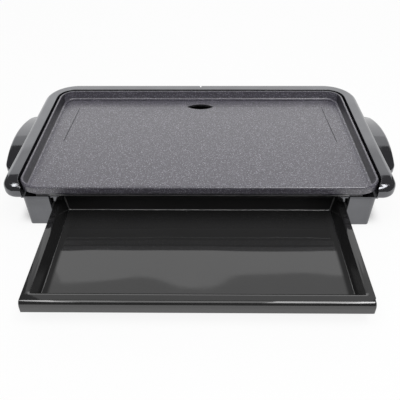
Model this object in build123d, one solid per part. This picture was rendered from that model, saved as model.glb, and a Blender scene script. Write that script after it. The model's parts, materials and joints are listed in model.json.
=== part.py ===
from build123d import *
import os

# Electric griddle with a slide-out drawer, in millimetres: X to the right, Y to the back, +Z up.
# The drawer stands pulled out. The origin is on the table, in the middle of the whole part.

# Griddle plate
plate_width = 508.0
plate_depth = 295.4
plate_corner = 27.0
plate_top = 73.5  # rim above the table
lip_height = 11.3  # outer face of the rim
lip_width = 4.0
lip_round = 3.0
pan_depth = 13.0
pan_slope = 4.0  # lean of the pan's wall
pan_fillet = 3.0
plate_floor = 4.5
body_step = 3.5  # the pan under the rim is set in by this
body_slope = 3.0
cooking_margin = 31.0  # side gutters, from the foot of the pan's wall to the cooking area
cooking_front = 0.0  # where the gutters begin to fall, from the plate's middle
gutter_fall = 1.6
gutter_edge = 3.5  # flat strip left at the foot of the pan's wall
hole_length = 50.0
hole_width = 21.0
hole_tip = 1.2
hole_from_rear = 37.4

# Base frame
pad_height = 4.0  # heat-proof pads between base and plate
base_wall = 2.6
body_inset = 1.0  # base inside the plate's side edges
housing_width = 41.5  # side housings, whose front ends are the legs
front_setback = 6.0  # legs behind the plate's front edge
rear_overhang = 4.0  # rear wall behind the plate's rear edge
side_draft = 4.2  # lean of the side walls, over their height
end_draft = 0.3  # lean of the front and rear walls
body_corner = 10.0
body_foot_corner = 4.0  # the corner runs out to this at the foot
body_foot_round = 1.2
leg_edge = 1.8  # bevel along the leg's inner edge
plate_gap = 3.6  # dark line between plate and rail
side_rail_width = 20.7
rear_rail_width = 21.2
rail_front_setback = 2.8
rail_front_corner = 20.0
rail_rear_corner = 53.0
rail_round = 8.0
rail_nose = 34.0  # front end, over which the rail's top curves down
rail_nose_drop = 7.0
rail_end_inset = 4.0  # rail ends, inside the plate's side edges
notch_width = 2.2
notch_depth = 14.0
foot_pad_length = 30.0
foot_pad_thickness = 3.0

# Wing handles
handle_reach = 26.9  # beyond the rail
handle_length = 168.0
handle_middle = 15.5  # behind the plate's middle
handle_bulge = 5.4
handle_corner = 17.0
handle_crest = 13.2  # top of the arch, below the plate's rim
handle_fall = 13.5  # ends of the arch, below its crest
handle_thickness = 14.0
handle_round = 4.0
handle_wall = 5.0
handle_pocket = 8.0
handle_root_length = 96.0
handle_root_thickness = 7.0
handle_screw_spacing = 72.0
seat_gap = 0.3

# Drawer and runners
drawer_under = 9.8  # clear of the table
drawer_wall = 2.2
drawer_inside = 22.0
drawer_lean = 6.0  # lean of the drawer's walls, over their height
drawer_flange = 9.3
drawer_rear_flange = 12.0
drawer_bevel = 1.5
drawer_corner = 2.2
drawer_floor_round = 1.7
bar_depth = 16.5
bar_height = 16.5
bar_round = 5.5
bar_end_round = 2.5
drawer_proud = 6.0  # shut drawer, in front of the legs
drawer_hold = 37.7  # open drawer, still behind the legs' front faces
drawer_side_gap = 1.7
drawer_rear_gap = 15.8  # shut drawer, in front of the grease tray's holder
runner_front = 14.0  # behind the legs' front faces
runner_ledge = 8.5
runner_ledge_thickness = 2.8
runner_web = 2.5
runner_drop = 13.0
runner_clearance = 0.5
runner_screw_inset = 25.0
stop_reach = 11.0
stop_length = 9.0
stop_height = 11.0
lug_width = 6.0
lug_inset = 1.0
lug_length = 8.0
lug_height = 2.5
tooth_width = 13.0  # hold-down teeth over the drawer's flanges, at the legs
tooth_tip = 3.2
tooth_tip_inset = 4.1  # tip's outer edge, inside the leg
tooth_height = 9.5
tooth_length = 6.0
tooth_setback = 1.0
tooth_round = 1.4

# Grease tray under the drain hole
grease_width = 112.0
grease_front = 23.0  # in front of the drain hole's middle
grease_depth = 27.0
grease_wall = 2.0
grease_lean = 3.0
grease_flange = 4.0
grease_top_gap = 5.4  # under the base's top
grease_panel_margin = 6.0
grease_pull = 10.0
grease_pull_width = 56.0
holder_wall = 2.4
holder_ear = 11.0
holder_rail_height = 5.0
grease_clearance = 0.4

# Heating element and the inlet for its control probe
tube_diameter = 7.0
tube_clearance = 0.15
element_side = 60.0  # inside the plate's side edges
element_front = 59.0
element_rear = 74.0
element_bend = 28.0
terminal_bend = 10.0
terminal_run = 15.0  # level run of the tube behind its loop
rib_width = 13.0
rib_height = 5.3
clip_width = 10.0
clip_thickness = 1.2
clip_span = 25.0
clip_spacing = 127.0  # along the front run
terminal_inset = 104.0
pin_spacing = 26.0
pin_diameter = 5.0
pin_length = 30.0
insulator_diameter = 10.6
insulator_length = 8.0
guard_width = 64.0
guard_height = 25.0
guard_depth = 32.0
guard_wall = 1.6
guard_pad = 2.0
guard_rear_gap = 5.4  # mouth, in front of the rear wall
sleeve_bore = 6.4
sleeve_wall = 1.0
sleeve_length = 66.0
sleeve_end = 4.0
sleeve_setback = 10.0  # its mouth, inside the guard's mouth
inlet_margin = 4.0

# Feet, pads and screws
foot_diameter = 16.0
foot_height = 0.8
foot_stem = 6.0
foot_head = 8.4
foot_head_height = 1.5
pad_diameter = 14.0
pad_stem = 5.0
pad_stem_length = 3.5
pad_from_front = 40.0
fit_clearance = 0.1
cut_over = 1.0  # cuts run past a wall by this
screw_diameter = 2.8
screw_head = 5.6
screw_head_height = 1.8
boss_wall = 2.7
crossbar_depth = 20.0
crossbar_thickness = 1.5
crossbar_reach = 20.0  # over each housing

# Heights
plate_under = plate_top - pan_depth - plate_floor
pan_bottom = plate_top - pan_depth
lip_bottom = plate_top - lip_height
base_top = plate_under - pad_height
base_ceiling = base_top - base_wall
base_bottom = foot_height
rail_top = plate_top
rail_bottom = base_ceiling
flange_top = drawer_under + drawer_wall + drawer_inside
flange_bottom = flange_top - drawer_wall

# Plan
half_width = plate_width / 2
half_depth = plate_depth / 2
body_half = half_width - body_inset
bay_half = body_half - housing_width
body_front = -half_depth + front_setback
body_rear = half_depth + rear_overhang
rear_wall_inside = body_rear - base_wall
housing_middle = bay_half + (housing_width - side_draft) / 2
rail_half = half_width + plate_gap + side_rail_width
rail_rear = half_depth + plate_gap + rear_rail_width
rail_front = -half_depth + rail_front_setback
hole_y = half_depth - hole_from_rear
grease_start = hole_y - grease_front
holder_start = grease_start - holder_wall - grease_clearance
drawer_half = bay_half - drawer_side_gap
drawer_shut_front = body_front - drawer_proud
drawer_length = holder_start - drawer_rear_gap - drawer_shut_front
drawer_rear = body_front + drawer_hold
drawer_front = drawer_rear - drawer_length
terminal_x = half_width - terminal_inset
guard_top = plate_under - guard_pad
guard_mouth = rear_wall_inside - guard_rear_gap
guard_back = guard_mouth - guard_depth
inlet_z = guard_top - guard_height / 2
wing_half = handle_length / 2
screw_radius = screw_diameter / 2
pilot_radius = screw_radius + fit_clearance
middle_shift = -(drawer_front + rail_rear) / 2  # puts the origin in the middle of the whole part


def block(x_low, x_high, y_low, y_high, z_low, z_high):
    middle = ((x_low + x_high) / 2, (y_low + y_high) / 2, (z_low + z_high) / 2)
    return Pos(*middle) * Box(x_high - x_low, y_high - y_low, z_high - z_low)


def rounded_slab(width, depth, corner, bottom, top, middle=0.0):
    outline = Pos(0, middle, bottom) * RectangleRounded(width, depth, corner)
    return extrude(outline, amount=top - bottom)


def leaning_slab(low_size, low_corner, bottom, high_size, high_corner, top, middle=0.0):
    low = Pos(0, middle, bottom) * RectangleRounded(*low_size, low_corner)
    high = Pos(0, middle, top) * RectangleRounded(*high_size, high_corner)
    return loft([low.face(), high.face()], ruled=True)


def plate_slab(margin, bottom, top):
    """The plate's outline, grown by margin."""
    return rounded_slab(
        plate_width + 2 * margin, plate_depth + 2 * margin, plate_corner + margin, bottom, top
    )


def rod(radius, bottom, top, x=0.0, y=0.0):
    return Pos(x, y, (bottom + top) / 2) * Cylinder(radius, top - bottom)


def rod_along_y(radius, front, rear, x, z):
    return Pos(x, (front + rear) / 2, z) * Rot(90, 0, 0) * Cylinder(radius, rear - front)


def screw(length):
    """Pan-head screw: the head's underside at the origin, the shank pointing down."""
    head = rod(screw_head / 2, 0, screw_head_height)
    head = chamfer(head.edges().sort_by(Axis.Z)[-1], screw_head_height / 2)
    return head + rod(screw_radius, -length, 0)


def mirrored(shape):
    return mirror(shape, about=Plane.YZ)


def edges_at(shape, height):
    return shape.edges().filter_by_position(Axis.Z, height, height)


# Griddle plate and its heating element

tube_radius = tube_diameter / 2
groove_radius = tube_radius + tube_clearance
tube_z = plate_under - rib_height
element_rear_y = half_depth - element_rear
element_front_y = -half_depth + element_front
element_side_x = half_width - element_side
sleeve_radius = sleeve_bore / 2 + sleeve_wall
sleeve_mouth = guard_mouth - sleeve_setback
sleeve_front = sleeve_mouth - sleeve_length
tube_end = guard_back - insulator_length / 4
pins_x = [terminal_x - pin_spacing / 2, terminal_x + pin_spacing / 2]
clip_sites = [  # x, y and turn
    (-clip_spacing, element_rear_y, 0),
    (-clip_spacing, element_front_y, 0),
    (0, element_front_y, 0),
    (clip_spacing, element_front_y, 0),
    (-element_side_x, 0, 90),
    (element_side_x, 0, 90),
]
clip_screw_reach = clip_span / 2 - screw_head / 2 - fit_clearance
clip_ear_bottom = tube_z - clip_thickness


def element_path():
    """Centre line of the tube: from one terminal, once round under the plate, to the other."""
    ramp_low = tube_end - terminal_bend
    ramp_high = element_rear_y + terminal_run
    near, far = pins_x
    last_bend = min(element_bend, element_side_x - far - terminal_bend - tube_clearance)
    points = [
        (near, tube_end, inlet_z),
        (near, ramp_low, inlet_z),
        (near, ramp_high, tube_z),
        (near, element_rear_y, tube_z),
        (-element_side_x, element_rear_y, tube_z),
        (-element_side_x, element_front_y, tube_z),
        (element_side_x, element_front_y, tube_z),
        (element_side_x, element_rear_y, tube_z),
        (far, element_rear_y, tube_z),
        (far, ramp_high, tube_z),
        (far, ramp_low, inlet_z),
        (far, tube_end, inlet_z),
    ]
    small = [terminal_bend] * 3
    large = [element_bend] * 3
    return FilletPolyline(*points, radius=small + large + [last_bend] + small)


def tube_along(path, radius):
    section = Plane(origin=path @ 0, z_dir=path % 0) * Circle(radius)
    return sweep(section, path=path)


def make_heating_element():
    return tube_along(element_path(), tube_radius)


def drain_lens():
    tip = hole_length / 2
    crown = hole_width / 2
    rear_arc = ThreePointArc((-tip, 0), (0, crown), (tip, 0))
    front_arc = ThreePointArc((tip, 0), (0, -crown), (-tip, 0))
    lens = make_face([rear_arc, front_arc])
    return fillet(lens.vertices(), hole_tip)


def gutter():
    """Falls from the plate's middle to the rear, round the flat cooking area."""
    foot = lip_width + pan_slope + gutter_edge
    floor = plate_slab(-foot, pan_bottom - gutter_fall, pan_bottom + gutter_fall)
    area_half = half_width - lip_width - pan_slope - cooking_margin
    area = block(-area_half, area_half, -plate_depth, hole_y, 0, plate_top)
    wedge_outline = Polyline(
        (cooking_front, pan_bottom),
        (half_depth, pan_bottom + gutter_fall),
        (half_depth, pan_bottom - gutter_fall),
        close=True,
    )
    wedge = extrude(Plane.YZ * make_face(wedge_outline), amount=half_width, both=True)
    return (floor - area) & wedge


def element_rib():
    """Cast rib that holds the tube in a half-round groove, with a boss at each clip."""
    side, front, rear = element_side_x, element_front_y, element_rear_y
    outer_corner = element_bend + rib_width / 2
    inner_corner = element_bend - rib_width / 2
    middle = (front + rear) / 2
    size = (2 * side, rear - front)
    outer_size = [length + rib_width for length in size]
    inner_size = [length - rib_width for length in size]
    ring = rounded_slab(*outer_size, outer_corner, tube_z, plate_under, middle)
    ring -= rounded_slab(*inner_size, inner_corner, tube_z, plate_under, middle)
    break_half = pin_spacing / 2 - terminal_bend / 2
    ring -= block(
        terminal_x - break_half, terminal_x + break_half, rear - rib_width, rear + rib_width, 0, plate_top
    )
    boss = rounded_slab(clip_width, clip_span, clip_width / 4, tube_z, plate_under)
    for x, y, turn in clip_sites:
        ring += Pos(x, y, 0) * Rot(0, 0, turn) * boss
    return ring


def clip_screw_places():
    for x, y, turn in clip_sites:
        for end in (-clip_screw_reach, clip_screw_reach):
            yield Pos(x, y, 0) * Rot(0, 0, turn) * Pos(0, end, clip_ear_bottom) * Rot(180, 0, 0)


def guard_screw_places():
    reach = guard_width / 2 - guard_wall - screw_head
    for side in (-reach, reach):
        yield Pos(terminal_x + side, (guard_back + guard_mouth) / 2, guard_top - guard_wall) * Rot(180, 0, 0)


clip_screw_length = clip_thickness + rib_height - fit_clearance
guard_screw_length = guard_wall + guard_pad + plate_floor / 2


def pilot(length):
    return rod(pilot_radius, -length - fit_clearance, 0)


def make_griddle_plate():
    lip = plate_slab(0, lip_bottom, plate_top)
    top_size = (plate_width - 2 * body_step, plate_depth - 2 * body_step)
    low_size = [length - 2 * body_slope for length in top_size]
    top_corner = plate_corner - body_step
    body = leaning_slab(
        low_size, top_corner - body_slope, plate_under, top_size, top_corner, lip_bottom
    )
    plate = lip + body
    plate = fillet(edges_at(plate, plate_top), lip_round)
    mouth_size = (plate_width - 2 * lip_width, plate_depth - 2 * lip_width)
    floor_size = [length - 2 * pan_slope for length in mouth_size]
    mouth_corner = plate_corner - lip_width
    pan = leaning_slab(
        floor_size, mouth_corner - pan_slope, pan_bottom, mouth_size, mouth_corner, plate_top
    )
    pan = fillet(edges_at(pan, pan_bottom), pan_fillet)
    plate -= pan
    plate -= gutter()
    plate += element_rib()
    guard_middle = (guard_back + guard_mouth) / 2
    guard_seat = rounded_slab(guard_width, guard_depth, guard_wall, guard_top, plate_under, guard_middle)
    plate += Pos(terminal_x, 0, 0) * guard_seat
    saddle_half = pin_spacing / 2 - tube_radius - tube_clearance - guard_wall
    plate += block(
        terminal_x - saddle_half,
        terminal_x + saddle_half,
        sleeve_front + sleeve_end,
        guard_back - sleeve_end,
        inlet_z,
        plate_under,
    )
    plate -= rod_along_y(sleeve_radius + tube_clearance, sleeve_front, guard_back, terminal_x, inlet_z)
    plate -= tube_along(element_path(), groove_radius)
    plate -= extrude(Pos(0, hole_y, 0) * drain_lens(), amount=plate_top)
    for place in clip_screw_places():
        plate -= place * pilot(clip_screw_length)
    for place in guard_screw_places():
        plate -= place * pilot(guard_screw_length)
    return plate


def make_element_clips():
    shoulder = tube_radius + tube_clearance
    crown = tube_z - shoulder
    ear = clip_span / 2
    strap = [
        (ear, tube_z),
        (ear, clip_ear_bottom),
        (shoulder + clip_thickness, clip_ear_bottom),
        (shoulder + clip_thickness, crown - clip_thickness),
        (-shoulder - clip_thickness, crown - clip_thickness),
        (-shoulder - clip_thickness, clip_ear_bottom),
        (-ear, clip_ear_bottom),
        (-ear, tube_z),
        (-shoulder, tube_z),
        (-shoulder, crown),
        (shoulder, crown),
        (shoulder, tube_z),
    ]
    outline = make_face(Polyline(*strap, close=True))
    clip = extrude(Plane.YZ * outline, amount=clip_width / 2, both=True)
    for end in (-clip_screw_reach, clip_screw_reach):
        clip -= rod(pilot_radius, clip_ear_bottom, tube_z, 0, end)
    return [Pos(x, y, 0) * Rot(0, 0, turn) * clip for x, y, turn in clip_sites]


def make_terminal_guard():
    """Rectangular shroud, open to the rear, round the contact pins and the probe sleeve."""
    half = guard_width / 2
    bottom = guard_top - guard_height
    guard = block(-half, half, guard_back, guard_mouth, bottom, guard_top)
    guard = fillet(guard.edges().filter_by(Axis.Y), 2 * guard_wall)
    guard -= block(
        guard_wall - half,
        half - guard_wall,
        guard_back + guard_wall,
        guard_mouth,
        bottom + guard_wall,
        guard_top - guard_wall,
    )
    guard = Pos(terminal_x, 0, 0) * guard
    for x in pins_x:
        guard -= rod_along_y(insulator_diameter / 2 + fit_clearance, guard_back, guard_mouth, x, inlet_z)
    guard -= rod_along_y(sleeve_radius + tube_clearance, guard_back, guard_mouth, terminal_x, inlet_z)
    for place in guard_screw_places():
        guard -= place * pilot(guard_wall)
    return guard


def make_insulators():
    insulators = []
    bush_end = tube_end + insulator_length
    for x in pins_x:
        bush = rod_along_y(insulator_diameter / 2, tube_end, bush_end, x, inlet_z)
        bush -= rod_along_y(pin_diameter / 2 + fit_clearance, tube_end, bush_end, x, inlet_z)
        insulators.append(bush)
    return insulators


def make_contact_pins():
    pins = []
    for x in pins_x:
        pin = rod_along_y(pin_diameter / 2, tube_end, tube_end + pin_length, x, inlet_z)
        pins.append(chamfer(pin.edges().sort_by(Axis.Y)[-1], pin_diameter / 4))
    return pins


def make_probe_sleeve():
    sleeve = rod_along_y(sleeve_radius, sleeve_front, sleeve_mouth, terminal_x, inlet_z)
    return sleeve - rod_along_y(sleeve_bore / 2, sleeve_front + sleeve_end, sleeve_mouth, terminal_x, inlet_z)


# Base frame

boss_x = half_width + plate_gap + side_rail_width / 2
handle_screw_ys = [handle_middle - handle_screw_spacing / 2, handle_middle + handle_screw_spacing / 2]
boss_radius = pilot_radius + boss_wall
root_top = rail_bottom - seat_gap
root_bottom = root_top - handle_root_thickness
handle_screw_length = handle_root_thickness + seat_gap + (rail_top - rail_bottom) / 2
foot_ys = [body_front + foot_pad_length / 2, rear_wall_inside - foot_pad_length / 2]
pad_ys = [body_front + pad_from_front, rear_wall_inside - pad_from_front]
runner_start = body_front + runner_front
runner_end = holder_start - drawer_rear_gap
runner_low = flange_bottom - runner_clearance - runner_ledge_thickness
runner_screw_z = runner_low - runner_drop / 2
runner_screw_ys = [runner_start + runner_screw_inset, runner_end - runner_screw_inset]
crossbar_front = body_front + base_wall
crossbar_screw_x = bay_half + crossbar_reach / 2
crossbar_screw_y = crossbar_front + crossbar_depth / 2
grease_top = base_ceiling - grease_top_gap
grease_bottom = grease_top - grease_depth
grease_half = grease_width / 2 + grease_flange
grease_door_half = grease_half + 2 * grease_clearance
holder_side = grease_half + grease_clearance
holder_low = grease_top - grease_wall - grease_clearance - holder_rail_height
ear_screw_x = holder_side + holder_wall + holder_ear / 2
ear_screw_z = (holder_low + grease_top) / 2


def rail_profile(front, rear, low, top):
    """The rail's side view, whose top curves down to the front end."""
    start = front + rail_nose
    tip = front - cut_over
    end = rear + cut_over
    return make_face(
        [
            Line((tip, low), (end, low)),
            Line((end, low), (end, top)),
            Line((end, top), (start, top)),
            TangentArc((start, top), (tip, top - rail_nose_drop), tangent=(-1, 0)),
            Line((tip, top - rail_nose_drop), (tip, low)),
        ]
    )


def rail_block(grow, bottom, top):
    """The rail's outline filled in, with a bullnose edge; grow widens it all round."""
    half = rail_half + grow
    front = rail_front - grow
    rear = rail_rear + grow
    corners = [(-half, front), (half, front), (half, rear), (-half, rear)]
    outline = make_face(Polyline(*corners, close=True))
    front_corners = outline.vertices().group_by(Axis.Y)[0]
    outline = fillet(front_corners, rail_front_corner + grow)
    rear_corners = outline.vertices().group_by(Axis.Y)[-1]
    outline = fillet(rear_corners, rail_rear_corner + grow)
    slab = extrude(Pos(0, 0, bottom) * outline, amount=top - bottom)
    profile = rail_profile(front, rear, bottom - cut_over, top)
    slab &= extrude(Plane.YZ * profile, amount=2 * half, both=True)
    upper = (bottom + 2 * top) / 3
    seam = Vector(0, front + rail_nose, top)
    rims = [
        edge
        for edge in slab.edges()
        if edge.center().Z > upper and (edge.center() - seam).length > cut_over
    ]
    return fillet(rims + list(edges_at(slab, bottom)), rail_round + grow)


def make_rail():
    rail = rail_block(0, rail_bottom, rail_top)
    hollow = rail_block(-base_wall, rail_bottom - rail_round, rail_top - base_wall)
    hollow -= plate_slab(plate_gap + base_wall, 0, plate_top)
    end_half = half_width - rail_end_inset
    wall_half = end_half + base_wall
    hollow -= block(-wall_half, wall_half, rail_front - cut_over, 0, 0, plate_top)
    rail -= hollow
    over = rail_top + cut_over
    rail -= plate_slab(plate_gap, 0, over)
    rail -= block(-end_half, end_half, rail_front - cut_over, 0, 0, over)
    notch_half = notch_width / 2
    notch_bottom = rail_top - 2 * base_wall
    notch_front = rail_rear - notch_depth
    rail -= block(-notch_half, notch_half, notch_front, rail_rear + cut_over, notch_bottom, over)
    for side in (-boss_x, boss_x):
        for y in handle_screw_ys:
            boss = rod(boss_radius, rail_bottom, rail_top - base_wall / 2, side, y)
            rail += boss & rail_block(0, rail_bottom, rail_top)
    return rail


def body_slab(shrink):
    """The base's outer walls filled in, leaning inwards to the foot; shrink sets them in."""
    middle = (body_rear + body_front) / 2
    size = (2 * (body_half - shrink), body_rear - body_front - 2 * shrink)
    low_size = (size[0] - 2 * side_draft, size[1] - 2 * end_draft)
    return leaning_slab(
        low_size, body_foot_corner - shrink, base_bottom, size, body_corner - shrink, base_top, middle
    )


def make_leg_bevel():
    """Cut along the inner edge of the right leg's front face."""
    low_x = bay_half - cut_over
    low_y = body_front - cut_over
    reach = leg_edge + 2 * cut_over
    triangle = Polyline((low_x, low_y), (low_x + reach, low_y), (low_x, low_y + reach), close=True)
    return extrude(make_face(triangle), amount=plate_top)


def make_tooth():
    """Tooth that hangs from the top of the right leg and holds the open drawer down."""
    root = base_top - base_wall
    tip = base_top - tooth_height
    tip_x = bay_half - tooth_tip_inset
    points = [
        (bay_half, base_top),
        (bay_half - tooth_width, base_top),
        (tip_x - tooth_tip, tip),
        (tip_x, tip),
        (tip_x, root),
        (bay_half, root),
    ]
    outline = make_face(Polyline(*points, close=True))
    outline = fillet(outline.vertices().group_by(Axis.Y)[0], tooth_round)
    start = body_front + tooth_setback
    return Pos(0, start, 0) * extrude(Plane.XZ * outline, amount=-tooth_length)


def make_base_frame():
    body = body_slab(0)
    body = fillet(edges_at(body, base_bottom), body_foot_round)
    shelf = plate_slab(plate_gap + base_wall, base_ceiling, base_top)
    shelf -= block(-rail_half, rail_half, -plate_depth, body_front, 0, plate_top)
    base = body + shelf
    base -= block(-bay_half, bay_half, -plate_depth, rear_wall_inside, 0, plate_top)
    bevel = make_leg_bevel()
    base -= bevel
    base -= mirrored(bevel)
    inside_low = bay_half + base_wall
    hollow = body_slab(base_wall) - block(-inside_low, inside_low, -plate_depth, plate_depth, 0, plate_top)
    base -= hollow - block(-rail_half, rail_half, -plate_depth, plate_depth, base_ceiling, plate_top)
    for side in (-1, 1):
        ends = sorted((side * bay_half, side * body_half))
        for y in foot_ys:
            edge = foot_pad_length / 2
            base += body & block(*ends, y - edge, y + edge, base_bottom, base_bottom + foot_pad_thickness)
            stem_hole = foot_stem / 2 + fit_clearance
            base -= rod(stem_hole, 0, base_bottom + foot_pad_thickness, side * housing_middle, y)
        for y in pad_ys:
            base -= rod(pad_stem / 2 + fit_clearance, base_ceiling, base_top, side * housing_middle, y)
        for y in runner_screw_ys:
            hole = Pos(side * bay_half, y, runner_screw_z) * Rot(0, 90, 0)
            base -= hole * Cylinder(pilot_radius, 4 * base_wall)
        base -= rod(pilot_radius, base_ceiling, base_top, side * crossbar_screw_x, crossbar_screw_y)
    base += make_rail()
    tooth = make_tooth()
    base += tooth
    base += mirrored(tooth)
    for side in (-boss_x, boss_x):
        for y in handle_screw_ys:
            base -= rod(pilot_radius, 0, root_bottom + handle_screw_length + fit_clearance, side, y)
    wall_front = rear_wall_inside - cut_over
    wall_rear = body_rear + cut_over
    base -= block(
        -grease_door_half,
        grease_door_half,
        wall_front,
        wall_rear,
        grease_bottom - grease_clearance,
        grease_top + grease_clearance,
    )
    inlet_half = guard_width / 2 + inlet_margin
    inlet_bottom = guard_top - guard_height - inlet_margin
    base -= block(
        terminal_x - inlet_half,
        terminal_x + inlet_half,
        wall_front,
        wall_rear,
        inlet_bottom,
        base_ceiling - fit_clearance,
    )
    for side in (-ear_screw_x, ear_screw_x):
        base -= rod_along_y(pilot_radius, wall_front, wall_rear, side, ear_screw_z)
    return base


def make_crossbar():
    half = bay_half + crossbar_reach
    bar = block(
        -half, half, crossbar_front, crossbar_front + crossbar_depth, base_top, base_top + crossbar_thickness
    )
    for side in (-crossbar_screw_x, crossbar_screw_x):
        bar -= rod(pilot_radius, base_top, base_top + crossbar_thickness, side, crossbar_screw_y)
    return bar


def make_crossbar_screws():
    top = base_top + crossbar_thickness
    fastener = screw(crossbar_thickness + base_wall)
    return [Pos(side, crossbar_screw_y, top) * fastener for side in (-crossbar_screw_x, crossbar_screw_x)]


def make_foot(x, y):
    """Rubber foot: a pad under the leg, a stem through its floor and a head that holds it."""
    stem_top = base_bottom + foot_pad_thickness + fit_clearance
    foot = rod(foot_diameter / 2, 0, base_bottom, x, y)
    foot += rod(foot_stem / 2, base_bottom, stem_top, x, y)
    return foot + rod(foot_head / 2, stem_top, stem_top + foot_head_height, x, y)


def make_plate_pads():
    pads = []
    for side in (-housing_middle, housing_middle):
        for y in pad_ys:
            pad = rod(pad_diameter / 2, base_top, plate_under, side, y)
            pads.append(pad + rod(pad_stem / 2, base_top - pad_stem_length, base_top, side, y))
    return pads


# Wing handles, drawn for the right side

wing_out = rail_half + handle_reach
wing_top = plate_top - handle_crest
arch_radius = (wing_half**2 + handle_fall**2) / (2 * handle_fall)


def wing_outline(inner, shrink):
    outer = wing_out - shrink
    half = wing_half - shrink
    shoulder = outer - handle_bulge
    outline = make_face(
        [
            Line((inner, -half), (shoulder, -half)),
            ThreePointArc((shoulder, -half), (outer, 0), (shoulder, half)),
            Line((shoulder, half), (inner, half)),
            Line((inner, half), (inner, -half)),
        ]
    )
    outer_corners = outline.vertices().group_by(Axis.X)[-1]
    outline = fillet(outer_corners, handle_corner - shrink)
    return extrude(Pos(0, handle_middle, 0) * outline, amount=plate_top)


def arch(radius):
    """A cylinder across the handle, whose top is the arch at that radius."""
    axis = Pos(0, handle_middle, wing_top - arch_radius) * Rot(0, 90, 0)
    return axis * Cylinder(radius, 4 * rail_half)


def make_handle():
    inner = rail_half - side_rail_width / 2
    wing = wing_outline(inner, 0) & arch(arch_radius)
    wing -= arch(arch_radius - handle_thickness)
    outer_edges = [
        edge
        for edge in wing.edges()
        if edge.center().X > inner + handle_wall and edge.geom_type != GeomType.LINE
    ]
    rims = [edge for edge in outer_edges if abs((edge % 0.5).Z) < 0.5]
    wing = fillet(rims, handle_round)
    finger_room = wing_outline(inner, handle_wall) & arch(arch_radius - handle_thickness + handle_pocket)
    wing -= finger_room - block(0, rail_half + handle_wall, -plate_depth, plate_depth, 0, plate_top)
    wing -= rail_block(seat_gap, rail_bottom - seat_gap, rail_top + seat_gap)
    half = handle_root_length / 2
    root = block(
        body_half + base_wall,
        rail_half + handle_wall,
        handle_middle - half,
        handle_middle + half,
        root_bottom,
        root_top,
    )
    root = fillet(root.edges().filter_by(Axis.Z), handle_round)
    handle = wing + root
    for y in handle_screw_ys:
        handle -= rod(pilot_radius, root_bottom, rail_top, boss_x, y)
    return handle


def make_handle_screws():
    fastener = Rot(180, 0, 0) * screw(handle_screw_length)
    return [
        Pos(side, y, root_bottom) * fastener for side in (-boss_x, boss_x) for y in handle_screw_ys
    ]


# Drawer and its runners

stop_bottom = flange_top + runner_clearance
stop_top = stop_bottom + stop_height
stop_rear = runner_start + stop_length


def make_drawer():
    inside_half = drawer_half - drawer_flange
    inside_front = drawer_front + bar_depth
    inside_rear = drawer_rear - drawer_rear_flange
    middle = (inside_front + inside_rear) / 2
    mouth = (2 * inside_half, inside_rear - inside_front)
    floor = [length - 2 * drawer_lean for length in mouth]
    floor_top = drawer_under + drawer_wall
    skin = 2 * drawer_wall
    shell = leaning_slab(
        [length + skin for length in floor],
        drawer_corner + drawer_wall,
        drawer_under,
        [length + skin for length in mouth],
        drawer_corner + drawer_wall,
        flange_top,
        middle,
    )
    flange_front = drawer_front + bar_depth / 2
    flange_middle = (flange_front + drawer_rear) / 2
    tray = shell + rounded_slab(
        2 * drawer_half, drawer_rear - flange_front, drawer_corner, flange_bottom, flange_top, flange_middle
    )
    tray += make_front_bar()
    cavity = leaning_slab(floor, drawer_corner, floor_top, mouth, drawer_corner, flange_top, middle)
    cavity = fillet(edges_at(cavity, floor_top), drawer_floor_round)
    tray -= cavity
    inset = 2 * drawer_lean * drawer_bevel / drawer_inside
    tray -= leaning_slab(
        [length - inset for length in mouth],
        drawer_corner,
        flange_top - drawer_bevel,
        [length + 2 * drawer_bevel for length in mouth],
        drawer_corner + drawer_bevel,
        flange_top,
        middle,
    )
    lug_front = stop_rear + runner_clearance
    lug_high = drawer_half - lug_inset
    for side in (-1, 1):
        ends = sorted((side * lug_high, side * (lug_high - lug_width)))
        tray += block(*ends, lug_front, lug_front + lug_length, flange_top, flange_top + lug_height)
    return tray


def make_front_bar():
    """Bar across the drawer's front: a bullnose above, hollow below."""
    bottom = flange_top - bar_height
    rear = drawer_front + bar_depth
    bar = block(-drawer_half, drawer_half, drawer_front, rear, bottom, flange_top)
    front_edges = bar.edges().filter_by(Axis.X).group_by(Axis.Y)[0]
    bar = fillet(front_edges.sort_by(Axis.Z)[-1], bar_round)
    ends = bar.faces().sort_by(Axis.X)
    for end in (ends[0], ends[-1]):
        front_line = end.edges().sort_by(Axis.Y)[0]
        bar = fillet(front_line, bar_end_round)
    hollow = block(
        drawer_wall - drawer_half,
        drawer_half - drawer_wall,
        drawer_front + drawer_wall,
        rear - drawer_wall,
        bottom,
        flange_bottom,
    )
    top_front = hollow.edges().filter_by(Axis.X).group_by(Axis.Z)[-1].sort_by(Axis.Y)[0]
    return bar - fillet(top_front, bar_round - drawer_wall)


def make_runner():
    """Ledge under the drawer's flange, with a web to screw on and a stop at the front."""
    ledge_top = flange_bottom - runner_clearance
    side_skin = drawer_side_gap - runner_clearance
    profile = [
        (bay_half, runner_low - runner_drop),
        (bay_half, stop_top),
        (bay_half - side_skin, stop_top),
        (bay_half - side_skin, ledge_top),
        (bay_half - runner_ledge, ledge_top),
        (bay_half - runner_ledge, runner_low),
        (bay_half - runner_web, runner_low),
        (bay_half - runner_web, runner_low - runner_drop),
    ]
    section = Plane.XZ * make_face(Polyline(*profile, close=True))
    runner = extrude(section, amount=-(runner_end - runner_start))
    runner = Pos(0, runner_start, 0) * runner
    stop = block(bay_half - stop_reach, bay_half, runner_start, stop_rear, stop_bottom, stop_top)
    inner_lines = stop.edges().filter_by(Axis.Y).group_by(Axis.X)[0]
    runner += fillet(inner_lines.sort_by(Axis.Z)[-1], stop_height / 2)
    for y in runner_screw_ys:
        hole = Pos(bay_half, y, runner_screw_z) * Rot(0, 90, 0)
        runner -= hole * Cylinder(pilot_radius, 4 * runner_web)
    return runner


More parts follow.
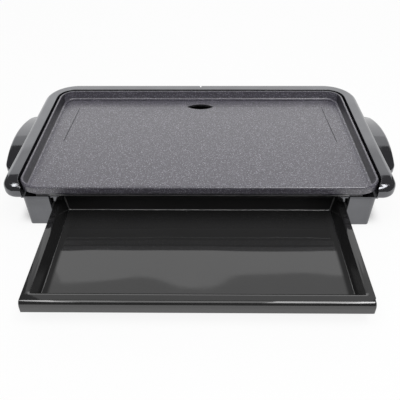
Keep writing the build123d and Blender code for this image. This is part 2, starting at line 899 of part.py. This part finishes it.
def make_runner_screws():
    fastener = Rot(0, -90, 0) * screw(runner_web + base_wall)
    right = [Pos(bay_half - runner_web, y, runner_screw_z) * fastener for y in runner_screw_ys]
    return right + [mirrored(one) for one in right]


# Grease tray and its holder

panel_front = body_rear + seat_gap
panel_rear = panel_front + grease_wall


def make_grease_tray():
    depth = panel_front - grease_start
    middle = (panel_front + grease_start) / 2
    corner = grease_lean
    mouth = (grease_width, depth)
    floor = [length - 2 * grease_lean for length in mouth]
    skin = 2 * grease_wall
    tray = leaning_slab(floor, corner, grease_bottom, mouth, corner, grease_top, middle)
    tray += block(
        -grease_half, grease_half, grease_start, panel_front, grease_top - grease_wall, grease_top
    )
    panel_half = grease_door_half + grease_panel_margin
    panel_bottom = grease_bottom - grease_panel_margin
    panel = block(
        -panel_half, panel_half, panel_front, panel_rear, panel_bottom, base_ceiling - 2 * grease_clearance
    )
    tray += fillet(panel.edges().filter_by(Axis.Y), corner)
    pull_half = grease_pull_width / 2
    pull = block(
        -pull_half, pull_half, panel_front, panel_rear + grease_pull, panel_bottom, panel_bottom + grease_wall
    )
    tray += fillet(pull.edges().filter_by(Axis.Z).group_by(Axis.Y)[-1], corner)
    tray -= leaning_slab(
        [length - skin for length in floor],
        corner,
        grease_bottom + grease_wall,
        [length - skin for length in mouth],
        corner,
        grease_top,
        middle,
    )
    return tray


def make_grease_holder():
    """Two ledges for the grease tray's flanges, joined in front, with ears on the rear wall."""
    outside = holder_side + holder_wall
    ledge_inside = grease_width / 2 + grease_clearance
    ledge_top = grease_top - grease_wall - grease_clearance
    holder = block(
        -outside, outside, holder_start, holder_start + holder_wall, holder_low, grease_top
    )
    for side in (-1, 1):
        wall_ends = sorted((side * holder_side, side * outside))
        holder += block(*wall_ends, holder_start, rear_wall_inside, holder_low, grease_top)
        ledge_ends = sorted((side * ledge_inside, side * outside))
        holder += block(*ledge_ends, holder_start, rear_wall_inside, holder_low, ledge_top)
        ear_ends = sorted((side * outside, side * (outside + holder_ear)))
        holder += block(*ear_ends, rear_wall_inside - holder_wall, rear_wall_inside, holder_low, grease_top)
        holder -= rod_along_y(
            pilot_radius, rear_wall_inside - holder_wall, rear_wall_inside, side * ear_screw_x, ear_screw_z
        )
    return holder


def make_holder_screws():
    fastener = Rot(90, 0, 0) * screw(holder_wall + base_wall)
    front = rear_wall_inside - holder_wall
    return [Pos(side, front, ear_screw_z) * fastener for side in (-ear_screw_x, ear_screw_x)]


handle = make_handle()
runner = make_runner()
pieces = {
    "base_frame": make_base_frame(),
    "front_crossbar": make_crossbar(),
    "crossbar_screws": make_crossbar_screws(),
    "handle_left": mirrored(handle),
    "handle_right": handle,
    "handle_screws": make_handle_screws(),
    "runner_left": mirrored(runner),
    "runner_right": runner,
    "runner_screws": make_runner_screws(),
    "foot_front_left": make_foot(-housing_middle, foot_ys[0]),
    "foot_front_right": make_foot(housing_middle, foot_ys[0]),
    "foot_rear_left": make_foot(-housing_middle, foot_ys[1]),
    "foot_rear_right": make_foot(housing_middle, foot_ys[1]),
    "plate_pads": make_plate_pads(),
    "grease_holder": make_grease_holder(),
    "holder_screws": make_holder_screws(),
    "griddle_plate": make_griddle_plate(),
    "heating_element": make_heating_element(),
    "element_clips": make_element_clips(),
    "clip_screws": [place * screw(clip_screw_length) for place in clip_screw_places()],
    "terminal_guard": make_terminal_guard(),
    "guard_screws": [place * screw(guard_screw_length) for place in guard_screw_places()],
    "terminal_insulators": make_insulators(),
    "contact_pins": make_contact_pins(),
    "probe_sleeve": make_probe_sleeve(),
    "drawer": make_drawer(),
    "grease_tray": make_grease_tray(),
}

os.makedirs("parts", exist_ok=True)
for name, piece in pieces.items():
    shapes = piece if isinstance(piece, list) else [piece]
    placed = [Pos(0, middle_shift, 0) * shape for shape in shapes]
    solids = [solid for shape in placed for solid in shape.solids()]
    export_step(solids[0] if len(solids) == 1 else Compound(children=solids), f"parts/{name}.step")
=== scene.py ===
import json
import math

import bmesh
import bpy
from mathutils import Matrix


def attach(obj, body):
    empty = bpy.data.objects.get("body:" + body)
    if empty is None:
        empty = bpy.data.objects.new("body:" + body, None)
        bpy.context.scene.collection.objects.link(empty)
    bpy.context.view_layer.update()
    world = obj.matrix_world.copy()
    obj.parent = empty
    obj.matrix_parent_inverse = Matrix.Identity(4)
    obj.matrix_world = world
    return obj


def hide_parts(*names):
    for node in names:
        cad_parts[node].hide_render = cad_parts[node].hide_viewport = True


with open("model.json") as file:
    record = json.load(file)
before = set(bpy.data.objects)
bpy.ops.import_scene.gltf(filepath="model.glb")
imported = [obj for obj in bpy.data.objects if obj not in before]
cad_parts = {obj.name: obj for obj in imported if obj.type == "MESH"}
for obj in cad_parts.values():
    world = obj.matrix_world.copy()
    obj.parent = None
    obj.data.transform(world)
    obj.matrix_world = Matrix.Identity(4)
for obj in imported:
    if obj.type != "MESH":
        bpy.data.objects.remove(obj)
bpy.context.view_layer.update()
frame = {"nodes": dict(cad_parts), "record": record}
nodes = frame["nodes"]
mm = 0.001


def makeActive(piece):
    bpy.ops.object.select_all(action="DESELECT")  # the CAD nodes come in selected
    piece.select_set(True)
    bpy.context.view_layer.objects.active = piece


# Node helpers

def startMaterial(name, color, roughness):
    material = bpy.data.materials.new(name)
    material.use_nodes = True
    material.diffuse_color = (*color, 1)
    tree = material.node_tree
    shader = tree.nodes["Principled BSDF"]
    shader.inputs["Base Color"].default_value = (*color, 1)
    shader.inputs["Roughness"].default_value = roughness
    place = tree.nodes.new("ShaderNodeTexCoord").outputs["Object"]
    return material, tree, shader, place


def addNode(tree, kind, wires=None, **settings):
    node = tree.nodes.new("ShaderNode" + kind)
    for key, value in settings.items():
        setattr(node, key, value)
    for key, value in (wires or {}).items():
        if isinstance(value, bpy.types.NodeSocket):
            tree.links.new(value, node.inputs[key])
        else:
            node.inputs[key].default_value = value
    return node


def calculate(tree, operation, *values):
    return addNode(tree, "Math", dict(enumerate(values)), operation=operation).outputs[0]


def compare(tree, value, target, reach):
    return calculate(tree, "COMPARE", value, target, reach)


def both(tree, first, second):
    return calculate(tree, "MULTIPLY", first, second)


def fadeBetween(tree, value, start, end, first=0.0, last=1.0):
    wires = {"Value": value, "From Min": start, "From Max": end, "To Min": first, "To Max": last}
    return addNode(tree, "MapRange", wires, interpolation_type="SMOOTHSTEP").outputs[0]


def ramp(tree, factor, *stops):  # two stops, each a position and a level
    node = addNode(tree, "ValToRGB", {"Fac": factor})
    for element, (position, level) in zip(node.color_ramp.elements, stops):
        element.position = position
        element.color = (level, level, level, 1)
    return node.outputs["Color"]


def noise(tree, place, scale, detail=2.0, roughness=0.5):
    wires = {"Vector": place, "Scale": scale, "Detail": detail, "Roughness": roughness}
    return addNode(tree, "TexNoise", wires).outputs["Fac"]


def mixColors(tree, factor, first, second, blend="MIX"):
    node = addNode(tree, "Mix", data_type="RGBA", blend_type=blend)
    for socket, value in ((node.inputs[0], factor), (node.inputs[6], first), (node.inputs[7], second)):
        if isinstance(value, bpy.types.NodeSocket):
            tree.links.new(value, socket)
        else:
            socket.default_value = (*value, 1)
    return node.outputs[2]


def varyRoughness(tree, shader, factor, roughness, spread, end=0.7):
    low, high = (roughness * part for part in spread)
    tree.links.new(ramp(tree, factor, (0.3, low), (end, high)), shader.inputs["Roughness"])


def bump(tree, shader, height, distance, strength=1.0, below=None):
    wires = {"Height": height, "Distance": distance, "Strength": strength}
    if below:
        wires["Normal"] = below
    result = addNode(tree, "Bump", wires).outputs["Normal"]
    tree.links.new(result, shader.inputs["Normal"])
    return result


# Finishes

stoneCoat = {
    "base": (0.1, 0.093, 0.121),
    "shade": (0.045, 0.042, 0.056),
    "cloud": (330.0, 5.0, 0.7),  # noise scale, detail and roughness
    "dots": {  # cell scale, share of the cells left bare, size in its cell, colour
        "grain": (540.0, 0.4, 0.42, (0.02, 0.019, 0.024)),
        "speck": (600.0, 0.46, 0.36, (0.42, 0.41, 0.46)),
        "fleck": (330.0, 0.85, 0.25, (0.42, 0.41, 0.46)),
    },
    "dotCore": 0.6,  # share of a dot that has its full colour
    "roughness": (0.28, 0.38),
    "rub": (180.0, 3.0),
    "ior": 1.9,
    "skin": (900.0, 2.0),
    "skinBump": (0.00004, 0.6),  # distance and strength
    "speckBump": (0.00003, 0.5),
    "fold": (0.012, 0.011, 0.014),  # painted shade lines along the folds of the drip gutters, at both sides and the rear
    "foldSide": 0.2155,
    "foldSplay": 0.035,
    "foldFrom": 0.066,
    "foldTo": 0.1842,
    "foldWidth": 0.0006,
    "rearFoldWidth": 0.00096,
    "rearFoldShare": 0.45,  # the painted shade line at the rear is fainter
    "drain": (0.004, 0.004, 0.005),  # painted shade on the wall of the drain hole
    "drainSide": 0.027,
    "drainY": (0.1842, 0.012),  # middle and reach
    "drainZ": (0.0575, 0.0012),
    "paintedWallShade": (0.3, 0.3, 0.3),  # painted shade on the steep side walls of the pan
    "panWallX": (0.2482, 0.0021),
    "panWallZ": (0.0672, 0.0054),
}


def makeStoneCoat():
    look = stoneCoat
    material, tree, shader, place = startMaterial("stoneCoat", look["base"], look["roughness"][0])
    shader.inputs["IOR"].default_value = look["ior"]
    cloud = noise(tree, place, *look["cloud"])
    ground = mixColors(tree, ramp(tree, cloud, (0.35, 0.0), (0.65, 1.0)), look["shade"], look["base"])
    masks = {}
    for name, (scale, bare, size, color) in look["dots"].items():
        cells = addNode(tree, "TexVoronoi", {"Vector": place, "Scale": scale})
        pick = addNode(tree, "SeparateColor", {0: cells.outputs["Color"]}).outputs[0]
        some = calculate(tree, "GREATER_THAN", pick, bare)
        dot = ramp(tree, cells.outputs["Distance"], (size * look["dotCore"], 1.0), (size, 0.0))
        masks[name] = both(tree, dot, some)
        ground = mixColors(tree, masks[name], ground, color)
    axes = addNode(tree, "SeparateXYZ", {0: place}).outputs
    side = calculate(tree, "ABSOLUTE", axes["X"])
    # painted shade: dark lines along the folds of the gutters, at both sides and the rear
    start, end = look["foldFrom"], look["foldTo"]
    along = compare(tree, axes["Y"], (start + end) / 2, (end - start) / 2)
    splayed = calculate(tree, "MULTIPLY_ADD", axes["Y"], look["foldSplay"], side)
    fold = compare(tree, splayed, look["foldSide"] + look["foldSplay"] * end, look["foldWidth"])
    sideFoldShade = both(tree, fold, along)
    ground = mixColors(tree, sideFoldShade, ground, look["fold"])
    across = calculate(tree, "LESS_THAN", side, look["foldSide"])
    rearFoldShade = both(tree, compare(tree, axes["Y"], end, look["rearFoldWidth"]), across)
    fainterRearFoldShade = both(tree, rearFoldShade, look["rearFoldShare"])
    ground = mixColors(tree, fainterRearFoldShade, ground, look["fold"])
    wall = both(tree, compare(tree, axes["Z"], *look["drainZ"]), compare(tree, axes["Y"], *look["drainY"]))
    inside = calculate(tree, "LESS_THAN", side, look["drainSide"])
    # painted shade: the colour on the pan's steep side walls is multiplied darker
    panWallShade = both(tree, compare(tree, side, *look["panWallX"]), compare(tree, axes["Z"], *look["panWallZ"]))
    ground = mixColors(tree, panWallShade, ground, look["paintedWallShade"], "MULTIPLY")
    # painted shade: the drain hole's wall is coloured nearly black
    drain = both(tree, wall, inside)
    ground = mixColors(tree, drain, ground, look["drain"])
    tree.links.new(ground, shader.inputs["Base Color"])
    low, high = look["roughness"]
    rough = ramp(tree, noise(tree, place, *look["rub"]), (0.3, low), (0.7, high))
    for dull in (sideFoldShade, fainterRearFoldShade, drain):
        rough = calculate(tree, "MAXIMUM", rough, dull)
    tree.links.new(rough, shader.inputs["Roughness"])
    below = bump(tree, shader, noise(tree, place, *look["skin"]), *look["skinBump"])
    bump(tree, shader, masks["speck"], *look["speckBump"], below)
    return material


framePlastic = {
    "base": (0.013, 0.0128, 0.0145),
    "worn": (0.02, 0.0195, 0.022),
    "roughness": 0.07,
    "ior": 2.18,
    "tint": (0.935, 0.95, 1.0),
    "cloudy": (0.43, 0.57),  # least and most shine
    "waves": (9.0, 0.0005),  # scale and depth of the moulding's slow waves
}
wingPlastic = {**framePlastic, "ior": 1.98}
drawerPlastic = {
    "base": (0.011, 0.011, 0.0113),
    "worn": (0.016, 0.0158, 0.0162),
    "roughness": 0.045,
    "ior": 1.85,
    "waves": (9.0, 0.0003),
}
# a paler copy of the drawer plastic: its lighter base and worn colours are painted light on the drawer floor
drawerFloorPaintedLight = {
    **drawerPlastic,
    "base": (0.025, 0.025, 0.0253),
    "worn": (0.031, 0.0308, 0.0312),
    "waves": (7.6, 0.0019),  # slight sinks in the moulded floor
    "mattSide": (0.1838, 0.189),  # its gloss ends short of the side walls
}
# a paler copy of the drawer plastic: its lighter base colour is painted light on the drawer's inner walls
drawerWallPaintedLight = {**drawerPlastic, "base": (0.027, 0.027, 0.0273), "roughness": 0.2, "ior": 1.5}
drawerFold = {**drawerPlastic, "roughness": 0.4, "ior": 3.3}  # burnished folds between floor and walls
mouldedGrain = {  # noise scale, detail and roughness
    "haze": (14.0, 3.0),
    "rub": (60.0, 4.0, 0.65),
    "skin": (700.0, 2.0),
    "skinBump": (0.00001, 0.35),
    "cloud": (22.0, 3.0),
    "spread": (0.75, 1.3),  # least and most roughness, against the look's own
    "spreadEnd": 0.75,
    "fullShine": 0.5,
}


def makeGlossPlastic(name, look):
    grain = mouldedGrain
    material, tree, shader, place = startMaterial(name, look["base"], look["roughness"])
    shader.inputs["IOR"].default_value = look["ior"]
    shader.inputs["Specular Tint"].default_value = (*look.get("tint", (1, 1, 1)), 1)
    haze = noise(tree, place, *grain["haze"])
    tree.links.new(mixColors(tree, haze, look["base"], look["worn"]), shader.inputs["Base Color"])
    rub = noise(tree, place, *grain["rub"])
    varyRoughness(tree, shader, rub, look["roughness"], grain["spread"], grain["spreadEnd"])
    scale, depth = look["waves"]
    below = bump(tree, shader, noise(tree, place, scale, 1.0), depth)
    bump(tree, shader, noise(tree, place, *grain["skin"]), *grain["skinBump"], below)
    if "cloudy" in look:
        least, most = look["cloudy"]
        shine = ramp(tree, noise(tree, place, *grain["cloud"]), (0.3, least), (0.7, most))
        tree.links.new(shine, shader.inputs["Specular IOR Level"])
    if "mattSide" in look:
        axes = addNode(tree, "SeparateXYZ", {0: place}).outputs
        side = calculate(tree, "ABSOLUTE", axes["X"])
        shine = fadeBetween(tree, side, *look["mattSide"], grain["fullShine"], 0.0)
        tree.links.new(shine, shader.inputs["Specular IOR Level"])
    return material


drawnGrain = {"lines": (60.0, 5.0, 0.6), "dark": 0.72, "spread": (0.8, 1.35), "bump": (0.00002, 0.4)}


def makeMetal(name, color, roughness, streak):
    grain = drawnGrain
    material, tree, shader, place = startMaterial(name, color, roughness)
    shader.inputs["Metallic"].default_value = 1.0
    drawn = addNode(tree, "Mapping", {"Vector": place, "Scale": streak}).outputs[0]
    lines = noise(tree, drawn, *grain["lines"])
    dark = tuple(part * grain["dark"] for part in color)
    tree.links.new(mixColors(tree, lines, dark, color), shader.inputs["Base Color"])
    varyRoughness(tree, shader, lines, roughness, grain["spread"])
    bump(tree, shader, lines, *grain["bump"])
    return material


matteGrain = {"mottle": (40.0, 4.0, 0.6), "pale": 1.35, "spread": (0.88, 1.1), "strength": 0.6}


def makeMatte(name, color, roughness, scale, depth):
    grain = matteGrain
    material, tree, shader, place = startMaterial(name, color, roughness)
    mottle = noise(tree, place, *grain["mottle"])
    pale = tuple(part * grain["pale"] for part in color)
    tree.links.new(mixColors(tree, mottle, color, pale), shader.inputs["Base Color"])
    texture = noise(tree, place, scale, 3.0, 0.6)
    varyRoughness(tree, shader, texture, roughness, grain["spread"])
    bump(tree, shader, texture, depth, grain["strength"])
    return material


finishes = {
    "stone_coating": makeStoneCoat(),
    "frame_plastic": makeGlossPlastic("framePlastic", framePlastic),
    "wing_plastic": makeGlossPlastic("wingPlastic", wingPlastic),
    "drawer_plastic": makeGlossPlastic("drawerPlastic", drawerPlastic),
    "drawer_floor": makeGlossPlastic("drawerFloorPaintedLight", drawerFloorPaintedLight),
    "drawer_wall": makeGlossPlastic("drawerWallPaintedLight", drawerWallPaintedLight),
    "drawer_fold": makeGlossPlastic("drawerFold", drawerFold),
    "steel_sheet": makeMetal("steelSheet", (0.6, 0.6, 0.61), 0.34, (1.0, 8.0, 8.0)),
    "screw_steel": makeMetal("screwSteel", (0.5, 0.5, 0.51), 0.3, (3.0, 3.0, 3.0)),
    "dark_steel": makeMetal("darkSteel", (0.07, 0.068, 0.066), 0.5, (3.0, 3.0, 3.0)),
    "tube_steel": makeMetal("tubeSteel", (0.23, 0.2, 0.18), 0.42, (2.0, 2.0, 2.0)),
    "pin_metal": makeMetal("pinMetal", (0.74, 0.72, 0.68), 0.18, (4.0, 1.0, 4.0)),
    "sleeve_metal": makeMetal("sleeveMetal", (0.68, 0.68, 0.69), 0.28, (6.0, 1.0, 6.0)),
    "ceramic": makeMatte("ceramic", (0.7, 0.68, 0.63), 0.5, 500.0, 0.00003),
    "foot_rubber": makeMatte("footRubber", (0.022, 0.022, 0.023), 0.62, 800.0, 0.00004),
    "pad_rubber": makeMatte("padRubber", (0.06, 0.058, 0.058), 0.6, 800.0, 0.00004),
    "tray_plastic": makeMatte("trayPlastic", (0.02, 0.019, 0.021), 0.34, 600.0, 0.00003),
}
ownFinish = {
    "element_clips": "dark_steel",  # stained by the element's heat
    "clip_screws": "dark_steel",
    "handle_left": "wing_plastic",  # a little less glossy than the base
    "handle_right": "wing_plastic",
}
slotOfNode = {part["node"]: part["material_slot"] for part in frame["record"]["subparts"]}
bodyOfNode = {
    node: body for body, members in frame["record"]["behaviour"]["bodies"].items() for node in members
}
for node, piece in nodes.items():
    piece.data.materials.clear()
    piece.data.materials.append(finishes[ownFinish.get(node, slotOfNode[node])])
print("finishes:", len(finishes))


# Visible mouldings, with softened edges

softEdges = {  # in mm
    "griddle_plate": {"name": "plate_casting", "edge": 0.8, "between": (61.5, 63.0)},
    "base_frame": {"name": "base_moulding", "edge": 0.6},
    "drawer": {
        "name": "drawer_moulding",
        "edge": 0.5,
        "mouth": 2.0,
        "top": 34.0,
        "bar": {"back": -240.9, "foot": 28.4, "stretch": 1.6},  # its round reaches further down in front
    },
    "handle_left": {"name": "wing_left", "edge": 0.5},
    "handle_right": {"name": "wing_right", "edge": 0.5},
}
rounding = {
    "merge": 0.000005,
    "flat": 0.6,  # degrees between the faces that are joined into one
    "sharp": 40,  # degrees between the faces of an edge that is rounded
    "mouthSharp": (30, 50),
    "heights": (0, 100),
    "touch": 0.00001,
    "room": 2.5,  # free width beside an edge, against the width of its round
    "segments": 3,
    "mouthSegments": 4,
    "smooth": 35,
}


def outerEdges(shell, low, high, least, most=180):
    found = []
    for edge in shell.edges:
        if len(edge.link_faces) == 2 and edge.is_convex:
            level = all(low <= point.co.z <= high for point in edge.verts)
            if level and least < math.degrees(edge.calc_face_angle()) < most:
                found.append(edge)
    return found


def roomyEdges(shell, low, high, width):
    chosen = set(outerEdges(shell, low, high, rounding["sharp"]))
    room = rounding["room"] * width
    dropped = True
    while dropped:  # an edge stays where the faces beside it have room for the round
        dropped = {
            edge
            for edge in chosen
            for point in edge.verts
            if any(near not in chosen and near.calc_length() < room for near in point.link_edges)
        }
        chosen -= dropped
    return chosen


def roundEdges(piece, edges, width, segments):
    bpy.ops.mesh.select_all(action="DESELECT")
    for edge in edges:
        edge.select_set(True)
    bmesh.update_edit_mesh(piece.data)
    if edges:
        bpy.ops.mesh.bevel(offset=width, segments=segments, affect="EDGES", clamp_overlap=False)


def roundMouth(piece, look):
    shell = bmesh.from_edit_mesh(piece.data)
    top = look["top"] * mm
    touch = rounding["touch"]
    rim = outerEdges(shell, top - touch, top + touch, *rounding["mouthSharp"])
    roundEdges(piece, rim, look["mouth"] * mm, rounding["mouthSegments"])


def deepenBar(piece, look):
    shell = bmesh.from_edit_mesh(piece.data)
    top = look["top"] * mm
    bar = look["bar"]
    for point in shell.verts:
        if point.co.y < bar["back"] * mm and point.co.z > bar["foot"] * mm:
            point.co.z = top - (top - point.co.z) * bar["stretch"]
    bmesh.update_edit_mesh(piece.data)


def soften(node, look):
    mesh = nodes[node].data.copy()
    piece = bpy.data.objects.new(look["name"], mesh)
    bpy.context.scene.collection.objects.link(piece)
    makeActive(piece)
    bpy.ops.mesh.customdata_custom_splitnormals_clear()
    bpy.ops.object.mode_set(mode="EDIT")
    bpy.ops.mesh.select_mode(type="EDGE")
    bpy.ops.mesh.select_all(action="SELECT")
    bpy.ops.mesh.remove_doubles(threshold=rounding["merge"])
    bpy.ops.mesh.dissolve_limited(angle_limit=math.radians(rounding["flat"]))
    if "mouth" in look:
        roundMouth(piece, look)
        deepenBar(piece, look)
    shell = bmesh.from_edit_mesh(piece.data)
    width = look["edge"] * mm
    low, high = (height * mm for height in look.get("between", rounding["heights"]))
    roundEdges(piece, roomyEdges(shell, low, high, width), width, rounding["segments"])
    bpy.ops.mesh.select_all(action="SELECT")
    bpy.ops.mesh.vert_connect_concave()
    bpy.ops.object.mode_set(mode="OBJECT")
    bpy.ops.object.shade_smooth_by_angle(angle=math.radians(rounding["smooth"]))
    weigh = piece.modifiers.new("weigh", "WEIGHTED_NORMAL")
    weigh.keep_sharp = True
    bpy.ops.object.modifier_apply(modifier="weigh")
    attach(piece, bodyOfNode[node])
    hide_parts(node)
    return piece


drawerInside = {
    "side": 0.2006,
    "front": -0.2305,
    "rear": -0.042,
    "bottom": 0.011,
    "floor": 0.0125,
    "fold": 0.0145,
    "level": 0.9,  # a floor's face points up by more than this
    "steep": 0.5,  # a wall's face by less than this
    "corner": 0.25,  # a corner's face points both ways by more than this
}


def finishInside(piece):
    look = drawerInside
    index = {}
    # the floor and wall finishes are paler copies of the drawer plastic, with painted light
    for finish in ("drawer_floor", "drawer_wall", "drawer_fold"):
        index[finish] = len(piece.data.materials)
        piece.data.materials.append(finishes[finish])
    for face in piece.data.polygons:
        x, y, z = face.center
        up = face.normal.z
        if abs(x) < look["side"] and look["front"] < y < look["rear"] and z > look["bottom"]:
            if up > look["level"] and z < look["floor"]:
                face.material_index = index["drawer_floor"]
            elif 0 < up < look["steep"]:
                corner = min(abs(face.normal.x), abs(face.normal.y)) > look["corner"]
                face.material_index = index["drawer_fold" if corner else "drawer_wall"]
            elif up > 0 and z < look["fold"]:
                face.material_index = index["drawer_fold"]


for node, look in softEdges.items():
    piece = soften(node, look)
    if node == "drawer":
        finishInside(piece)
    print("soft edges:", piece.name, len(piece.data.polygons), "faces")


# Floor, light and camera

studio = {
    "floorSize": 8.0,
    "floor": (0.92, 0.92, 0.92),
    "paler": 1.02,
    "grain": (3.0, 2.0),
    "roughness": 0.9,
    "shine": 0.1,
    "glow": 0.9,  # share of the floor that shows as plain white
    "under": {"X": (-0.275, 0.275), "Y": (-0.07, 0.245)},  # floor in the shade of the base
    "shade": 0.95,
    "fade": 0.03,
    "ambient": 0.12,
}


def seenRay(tree):
    path = addNode(tree, "LightPath").outputs
    seen = calculate(tree, "MAXIMUM", path["Is Camera Ray"], path["Is Glossy Ray"])
    return calculate(tree, "MAXIMUM", seen, path["Is Transmission Ray"])


def makeFloor():
    bpy.ops.mesh.primitive_plane_add(size=studio["floorSize"], location=(0, 0, 0))
    floor = bpy.context.object
    floor.name = "floor"
    material, tree, shader, place = startMaterial("paleFloor", studio["floor"], studio["roughness"])
    shader.inputs["Specular IOR Level"].default_value = studio["shine"]
    grain = noise(tree, place, *studio["grain"])
    paler = tuple(min(1.0, part * studio["paler"]) for part in studio["floor"])
    tree.links.new(mixColors(tree, grain, studio["floor"], paler), shader.inputs["Base Color"])
    white = addNode(tree, "Emission", {"Color": (1, 1, 1, 1), "Strength": 1.0}).outputs[0]
    share = both(tree, seenRay(tree), studio["glow"])
    axes = addNode(tree, "SeparateXYZ", {0: place}).outputs
    shade = studio["shade"]
    for axis, (start, end) in studio["under"].items():
        for edge, inner in ((start, start + studio["fade"]), (end, end - studio["fade"])):
            shade = both(tree, fadeBetween(tree, axes[axis], edge, inner), shade)
    bare = calculate(tree, "SUBTRACT", 1.0, shade)
    share = both(tree, share, bare)
    shown = addNode(tree, "MixShader", {0: share, 1: shader.outputs[0], 2: white}).outputs[0]
    tree.links.new(shown, tree.nodes["Material Output"].inputs["Surface"])
    floor.data.materials.append(material)


lamps = {
    "backdrop": {"at": (0.0, 1.95, 0.65), "aim": (0, 0, 0.65), "size": (4.4, 1.3), "level": 1.3},
    "backTop": {"at": (0.0, 1.95, 1.65), "aim": (0, 0, 1.65), "size": (4.4, 0.7), "level": 0.85},
    "middle": {"at": (0.0, 1.95, 2.17), "aim": (0, 0, 2.17), "size": (2.2, 0.34), "level": 0.82},
    "middleLeft": {"at": (-1.17, 1.95, 2.17), "aim": (-1.17, 0, 2.17), "size": (0.14, 0.34), "level": 0.5},
    "middleRight": {"at": (1.17, 1.95, 2.17), "aim": (1.17, 0, 2.17), "size": (0.14, 0.34), "level": 0.5},
    "upper": {"at": (0.0, 1.95, 2.6), "aim": (0, 0, 2.6), "size": (2.6, 0.52), "level": 0.4},
    "overhead": {
        "at": (0.0, -0.1, 2.2),
        "aim": (0, -0.1, 0),
        "size": (2.2, 1.6),
        "level": 0.87,
        "glossy": False,  # not mirrored in the glossy mouldings
    },
    "softLeft": {"at": (-0.81, -0.8, 1.9), "aim": (-0.81, -0.8, 0), "size": (0.16, 2.0), "level": 4.6},
    "softLeftInner": {"at": (-0.58, -0.8, 1.9), "aim": (-0.58, -0.8, 0), "size": (0.3, 2.0), "level": 1.7},
    "softRight": {"at": (0.83, -0.8, 1.9), "aim": (0.83, -0.8, 0), "size": (0.16, 2.0), "level": 8.0},
    "softRightInner": {"at": (0.545, -0.8, 1.9), "aim": (0.545, -0.8, 0), "size": (0.41, 2.0), "level": 4.4},
    "softMiddle": {"at": (-0.045, -0.8, 1.9), "aim": (-0.045, -0.8, 0), "size": (0.77, 2.0), "level": 1.25},
    "spotLeft": {"at": (-0.985, 0.4, 1.9), "aim": (-0.985, 0.4, 0), "size": (0.055, 0.55), "level": 8.0},
    "spotRight": {"at": (0.925, 0.4, 1.9), "aim": (0.925, 0.4, 0), "size": (0.055, 0.55), "level": 8.0},
}


def makeLamp(name, look):
    data = bpy.data.lights.new(name, "AREA")
    data.shape = "RECTANGLE"
    data.size, data.size_y = look["size"]
    data.energy = look["level"] * math.pi * look["size"][0] * look["size"][1]
    lamp = bpy.data.objects.new(name, data)
    bpy.context.scene.collection.objects.link(lamp)
    lamp.location = look["at"]
    lamp.visible_camera = False
    lamp.visible_glossy = look.get("glossy", True)
    away = [a - b for a, b in zip(look["at"], look["aim"])]
    flat = math.hypot(away[0], away[1])
    lamp.rotation_euler = (math.atan2(flat, away[2]), 0, math.atan2(away[0], -away[1]) if flat else 0)


cameraView = {
    "at": (0.00972, -0.63597, 0.49651),
    "pitch": 38.37,
    "yaw": -0.81,
    "roll": 0.36,
    "lens": 45.94,
    "sensor": 36.0,
}


def makeCamera():
    look = cameraView
    data = bpy.data.cameras.new("camera")
    data.lens = look["lens"]
    data.sensor_width = look["sensor"]
    camera = bpy.data.objects.new("camera", data)
    bpy.context.scene.collection.objects.link(camera)
    turn = Matrix.Rotation(math.radians(-look["yaw"]), 4, "Z")
    tilt = Matrix.Rotation(math.radians(90 - look["pitch"]), 4, "X")
    spin = Matrix.Rotation(math.radians(-look["roll"]), 4, "Z")
    camera.matrix_world = Matrix.Translation(look["at"]) @ turn @ tilt @ spin
    bpy.context.scene.camera = camera


def makeSky():
    world = bpy.data.worlds.new("studio")
    bpy.context.scene.world = world
    world.use_nodes = True
    tree = world.node_tree
    sky = tree.nodes["Background"]
    sky.inputs["Color"].default_value = (1, 1, 1, 1)
    seen = addNode(tree, "LightPath").outputs["Is Camera Ray"]
    level = ramp(tree, seen, (0.0, studio["ambient"]), (1.0, 1.0))  # plain white behind the floor
    tree.links.new(level, sky.inputs["Strength"])


makeFloor()
for name, look in lamps.items():
    makeLamp(name, look)
makeCamera()
makeSky()
bpy.context.scene.view_settings.view_transform = "Standard"
print("studio: floor,", len(lamps), "lamps, camera")
